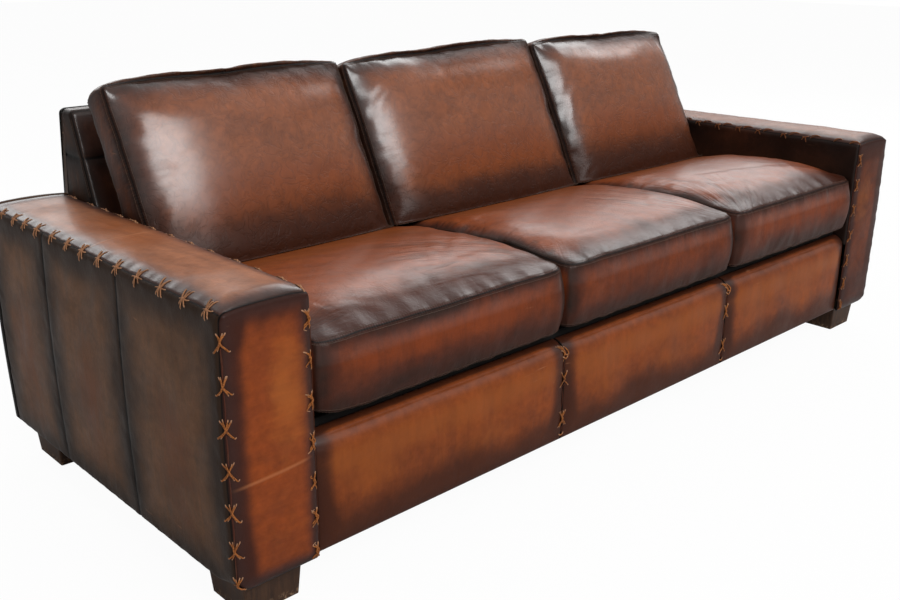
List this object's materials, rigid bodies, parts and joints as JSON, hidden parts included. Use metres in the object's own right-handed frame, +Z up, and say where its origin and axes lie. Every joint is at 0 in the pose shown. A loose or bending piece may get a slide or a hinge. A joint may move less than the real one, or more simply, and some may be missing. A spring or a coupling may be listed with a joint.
{
  "type": "three-seat leather sofa",
  "caption": "Wide low sofa with square padded arms, loose seat and back cushions, laced leather panels with dark burnished edges, and short tapered block feet.",
  "frame": {"origin": "on the floor under the middle of the sofa's bounding box", "axes": "+X along the sofa towards the arm at the right of a viewer who stands in front, +Y from the front to the rear, +Z up; the sofa's front faces -Y"},
  "size_m": [2.454, 1.0183, 0.919],
  "materials": {
    "saddle_leather": "hand-rubbed saddle brown, orange-brown in the middle of each panel and dark at its edges, satin with worn light creases",
    "burnished_leather": "dark burnished brown, satin to glossy",
    "rawhide_lacing": "tan lacing thong, dull, lighter at its cut ends",
    "topstitch_thread": "dark brown sewing thread",
    "frame_hardwood": "planed, unfinished",
    "stained_foot_wood": "dark stain, satin, scuffed low down",
    "spring_steel": "oiled spring wire",
    "zinc_steel": "zinc plated",
    "deck_cloth": "dark cloth over padding",
    "dust_cloth": "black non-woven cloth"
  },
  "bodies": {
    "root": {"arm_board_left": "frame_hardwood", "arm_board_right": "frame_hardwood", "arm_bottom_rail_left": "frame_hardwood", "arm_bottom_rail_right": "frame_hardwood", "arm_front_panel_left": "saddle_leather", "arm_front_panel_right": "saddle_leather", "arm_front_post_left": "frame_hardwood", "arm_front_post_right": "frame_hardwood", "arm_inner_panel_left": "burnished_leather", "arm_inner_panel_right": "burnished_leather", "arm_outer_panel_left": "burnished_leather", "arm_outer_panel_right": "burnished_leather", "arm_rear_post_left": "frame_hardwood", "arm_rear_post_right": "frame_hardwood", "arm_top_panel_left": "saddle_leather", "arm_top_panel_right": "saddle_leather", "back_bottom_rail": "frame_hardwood", "back_cushion_left": "saddle_leather", "back_cushion_middle": "saddle_leather", "back_cushion_right": "saddle_leather", "back_end_panel_left": "burnished_leather", "back_end_panel_right": "burnished_leather", "back_top_panel": "burnished_leather", "back_top_rail": "frame_hardwood", "back_upright_left": "frame_hardwood", "back_upright_middle": "frame_hardwood", "back_upright_right": "frame_hardwood", "dust_cover": "dust_cloth", "foot_bolt_front_left": "zinc_steel", "foot_bolt_front_right": "zinc_steel", "foot_bolt_rear_left": "zinc_steel", "foot_bolt_rear_right": "zinc_steel", "foot_front_left": "stained_foot_wood", "foot_front_right": "stained_foot_wood", "foot_rear_left": "stained_foot_wood", "foot_rear_right": "stained_foot_wood", "front_edge_roll": "deck_cloth", "front_rail_panel_left": "saddle_leather", "front_rail_panel_middle": "saddle_leather", "front_rail_panel_right": "saddle_leather", "front_seat_rail": "frame_hardwood", "inside_back_panel": "burnished_leather", "outside_back_panel": "burnished_leather", "rear_seat_rail": "frame_hardwood", "seat_cushion_left": "saddle_leather", "seat_cushion_middle": "saddle_leather", "seat_cushion_right": "saddle_leather", "seat_deck": "deck_cloth", "seat_spring_left_1": "spring_steel", "seat_spring_left_2": "spring_steel", "seat_spring_left_3": "spring_steel", "seat_spring_middle_1": "spring_steel", "seat_spring_middle_2": "spring_steel", "seat_spring_middle_3": "spring_steel", "seat_spring_right_1": "spring_steel", "seat_spring_right_2": "spring_steel", "seat_spring_right_3": "spring_steel", "seat_stretcher_left": "frame_hardwood", "seat_stretcher_right": "frame_hardwood"}
  },
  "joints": []
}
